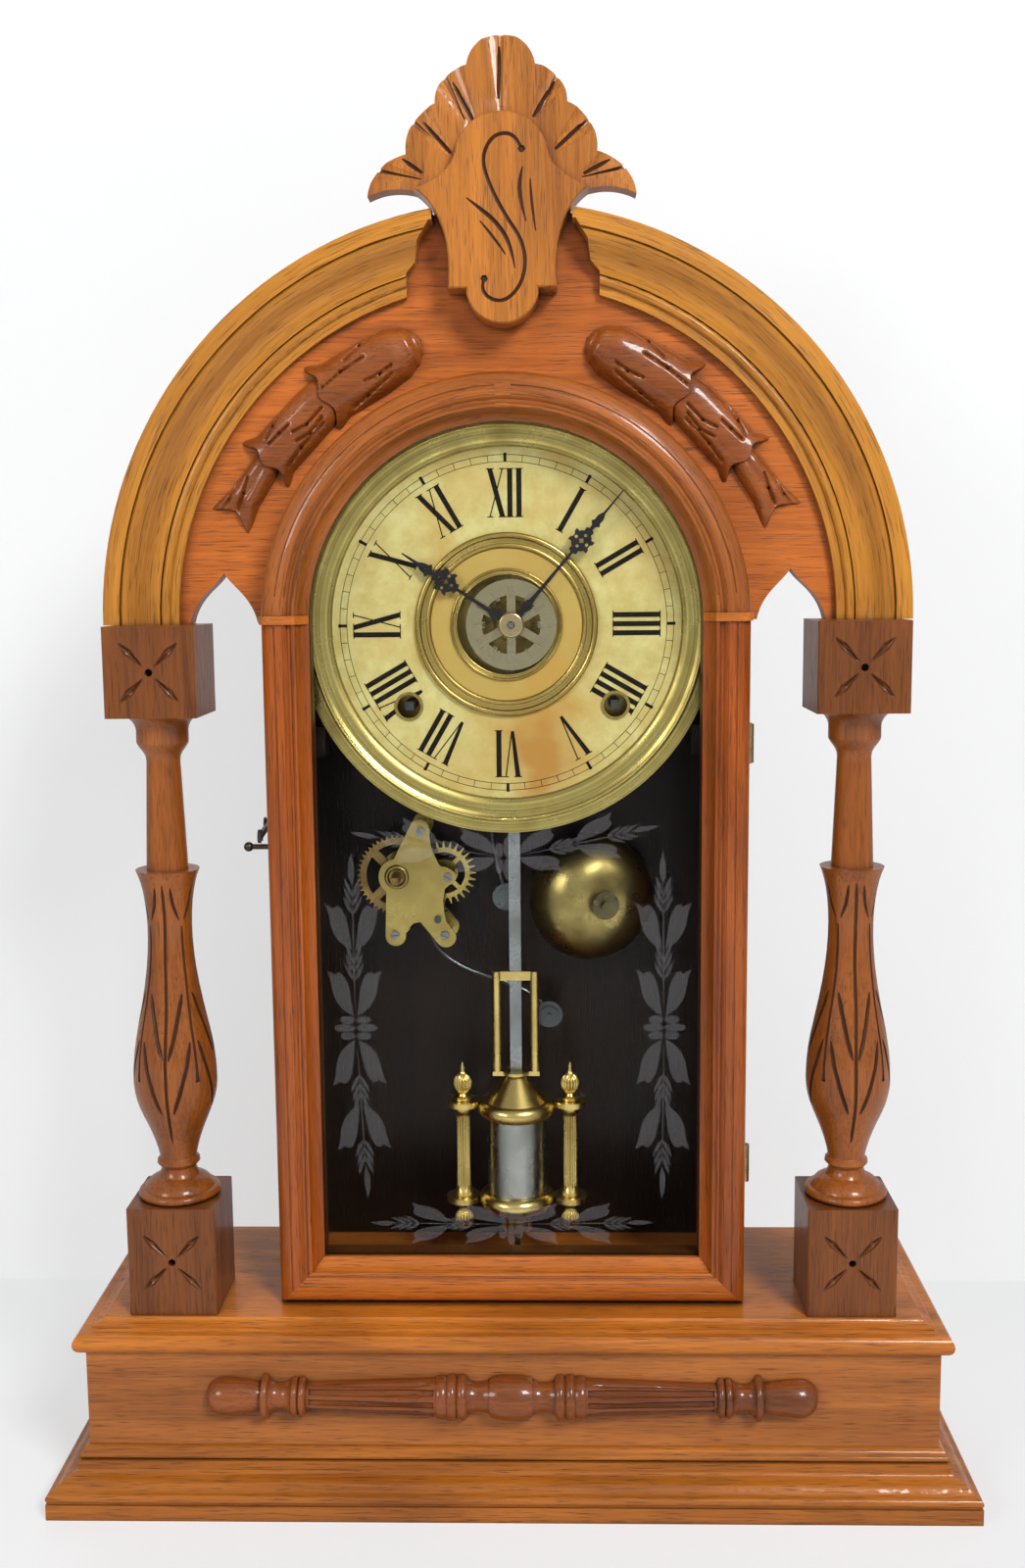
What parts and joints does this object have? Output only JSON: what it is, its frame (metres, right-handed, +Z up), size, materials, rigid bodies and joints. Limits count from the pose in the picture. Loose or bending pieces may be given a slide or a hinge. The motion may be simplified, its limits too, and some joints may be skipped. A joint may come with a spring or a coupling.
{
  "type": "shelf clock",
  "caption": "Carved walnut shelf clock: arched glazed door between free columns on a moulded base, round dial, swinging pendulum with sliding bob, alarm with hammer and bell.",
  "frame": {"origin": "middle of the base's underside, on the table", "axes": "+Z up, front towards -Y, +X to the viewer's right"},
  "size_m": [0.381, 0.112, 0.588],
  "materials": {
    "walnut_base": "varnished, semi-gloss",
    "walnut_frieze": "varnished, semi-gloss",
    "walnut_turned": "varnished, semi-gloss",
    "walnut_arch": "varnished, semi-gloss",
    "walnut_carved": "varnished, semi-gloss",
    "walnut_case": "oiled",
    "walnut_door": "varnished, semi-gloss",
    "pine_plain": "unfinished, aged",
    "door_glass": "clear, etched border",
    "brass_hardware": "aged",
    "brass_pan": "browned",
    "brass_movement": "aged, satin",
    "brass_bob": "polished, aged",
    "silvered_tube": "silvered",
    "bell_metal": "bronzed, satin",
    "steel_arbor": "bright",
    "steel_hammer": "grey, turned",
    "blued_steel": "black, semi-gloss",
    "dial_paper": "matt, aged"
  },
  "bodies": {
    "case": {"base_bottom_board": "pine_plain", "plinth_mouldings": "walnut_base", "frieze_front_board": "walnut_frieze", "base_side_and_back_boards": "walnut_frieze", "base_top_slab": "walnut_base", "split_turning": "walnut_turned", "lower_blocks": "walnut_turned", "upper_blocks": "walnut_turned", "turned_columns": "walnut_turned", "arch_board": "walnut_arch", "arch_mouldings": "walnut_base", "crest_fan": "walnut_carved", "crest_shield": "walnut_carved", "husk_drops": "walnut_carved", "case_sides": "walnut_case", "case_top_arch": "walnut_case", "back_board": "pine_plain", "movement_battens": "pine_plain", "dial_cleats": "pine_plain", "hinge_case_leaves": "brass_hardware", "hook_screw": "brass_hardware", "dial_pan": "brass_pan", "dial_face": "dial_paper", "dial_centre_rings": "brass_pan", "winding_grommets": "brass_pan", "movement_plates": "brass_movement", "movement_pillars": "steel_arbor", "alarm_plates": "brass_movement", "bell": "bell_metal", "bell_post": "steel_arbor"},
    "door": {"door_stiles": "walnut_door", "door_bottom_rail": "walnut_door", "door_arch_halves": "walnut_door", "door_collars": "walnut_door", "door_glass": "door_glass", "glass_slips": "walnut_case", "hinge_door_leaves": "brass_hardware", "door_catch_pin": "brass_hardware"},
    "hook": {"door_hook": "brass_hardware"},
    "minute_hand_set": {"centre_arbor": "steel_arbor", "minute_hand": "blued_steel", "hand_nut": "brass_hardware"},
    "hour_hand_set": {"hour_wheel": "brass_movement", "hour_hand": "blued_steel"},
    "motion_wheel": {"minute_wheel": "brass_movement"},
    "alarm_setting": {"alarm_disc": "brass_pan"},
    "second_arbor": {"second_wheel": "brass_movement"},
    "time_arbor": {"time_great_wheel": "brass_movement"},
    "strike_arbor": {"strike_great_wheel": "brass_movement"},
    "escape_arbor": {"escape_wheel": "brass_movement"},
    "verge_arbor": {"verge": "steel_arbor"},
    "pendulum": {"pendulum_rod": "steel_arbor"},
    "bob": {"bob_frame": "brass_bob", "bob_cylinder": "silvered_tube", "bob_side_columns": "brass_bob"},
    "rating": {"rating_nut": "brass_bob"},
    "alarm_arbor": {"alarm_main_wheel": "brass_movement"},
    "alarm_escape_arbor": {"alarm_escape_wheel": "brass_movement"},
    "alarm_hammer_arbor": {"alarm_hammer": "steel_hammer"},
    "strike_hammer_arbor": {"strike_hammer": "steel_hammer"}
  },
  "joints": [
    {"name": "door_hinge", "type": "hinge", "parent": "case", "child": "door", "pos_m": [0.0991, -0.0072, 0.22], "axis": [0, 0, 1], "range_deg": [0, 95]},
    {"name": "hook_pivot", "type": "hinge", "parent": "case", "child": "hook", "pos_m": [-0.1015, 0.006, 0.2785], "axis": [-1, 0, 0], "range_deg": [-12, 60]},
    {"name": "minute_turn", "type": "hinge", "parent": "case", "child": "minute_hand_set", "pos_m": [0.002, 0, 0.3616], "axis": [0, 1, 0], "continuous": true},
    {"name": "hour_turn", "type": "hinge", "parent": "case", "child": "hour_hand_set", "pos_m": [0.002, 0, 0.3616], "axis": [0, 1, 0], "continuous": true},
    {"name": "motion_turn", "type": "hinge", "parent": "case", "child": "motion_wheel", "pos_m": [-0.00649, 0, 0.37008], "axis": [0, 1, 0], "continuous": true},
    {"name": "alarm_setting_turn", "type": "hinge", "parent": "hour_hand_set", "child": "alarm_setting", "pos_m": [0.002, 0, 0.3616], "axis": [0, 1, 0], "continuous": true},
    {"name": "second_turn", "type": "hinge", "parent": "case", "child": "second_arbor", "pos_m": [0.02906, 0, 0.35174], "axis": [0, 1, 0], "continuous": true},
    {"name": "time_winding_turn", "type": "hinge", "parent": "case", "child": "time_arbor", "pos_m": [0.0446, 0, 0.3283], "axis": [0, 1, 0], "continuous": true},
    {"name": "strike_winding_turn", "type": "hinge", "parent": "case", "child": "strike_arbor", "pos_m": [-0.0406, 0, 0.3283], "axis": [0, 1, 0], "continuous": true},
    {"name": "escape_turn", "type": "hinge", "parent": "case", "child": "escape_arbor", "pos_m": [0.002, 0, 0.3216], "axis": [0, 1, 0], "continuous": true},
    {"name": "verge_rock", "type": "hinge", "parent": "case", "child": "verge_arbor", "pos_m": [0.002, 0, 0.3416], "axis": [0, 1, 0], "range_deg": [-4, 4]},
    {"name": "pendulum_swing", "type": "hinge", "parent": "case", "child": "pendulum", "pos_m": [0.002, 0, 0.3416], "axis": [0, 1, 0], "range_deg": [-4, 4]},
    {"name": "bob_slide", "type": "slide", "parent": "pendulum", "child": "bob", "axis": [0, 0, 1], "range_m": [-0.0024, 0.0024]},
    {"name": "rating_turn", "type": "hinge", "parent": "bob", "child": "rating", "pos_m": [0.002, 0.012, 0.0985], "axis": [0, 0, 1], "range_deg": [-1081, 1081]},
    {"name": "alarm_winding_turn", "type": "hinge", "parent": "case", "child": "alarm_arbor", "pos_m": [-0.05, 0, 0.251], "axis": [0, 1, 0], "continuous": true},
    {"name": "alarm_escape_turn", "type": "hinge", "parent": "case", "child": "alarm_escape_arbor", "pos_m": [-0.02984, 0, 0.251], "axis": [0, 1, 0], "continuous": true},
    {"name": "alarm_hammer_swing", "type": "hinge", "parent": "case", "child": "alarm_hammer_arbor", "pos_m": [-0.0322, 0, 0.232], "axis": [0, -1, 0], "range_deg": [0, 18]},
    {"name": "strike_hammer_swing", "type": "hinge", "parent": "case", "child": "strike_hammer_arbor", "pos_m": [-0.008, 0, 0.3056], "axis": [0, -1, 0], "range_deg": [-14, 0], "stiffness_Nm_per_rad": 0.008, "springref_deg": 8.59}
  ],
  "couplings": [
    {"joint": "hour_turn", "follows": "minute_turn", "ratio": 0.083333},
    {"joint": "motion_turn", "follows": "minute_turn", "ratio": -0.33333},
    {"joint": "second_turn", "follows": "minute_turn", "ratio": -0.33333},
    {"joint": "time_winding_turn", "follows": "minute_turn", "ratio": 0.083333},
    {"joint": "verge_rock", "follows": "pendulum_swing", "ratio": 1},
    {"joint": "rating_turn", "follows": "bob_slide", "rad_per_m": 7854},
    {"joint": "alarm_escape_turn", "follows": "alarm_winding_turn", "ratio": -6}
  ]
}
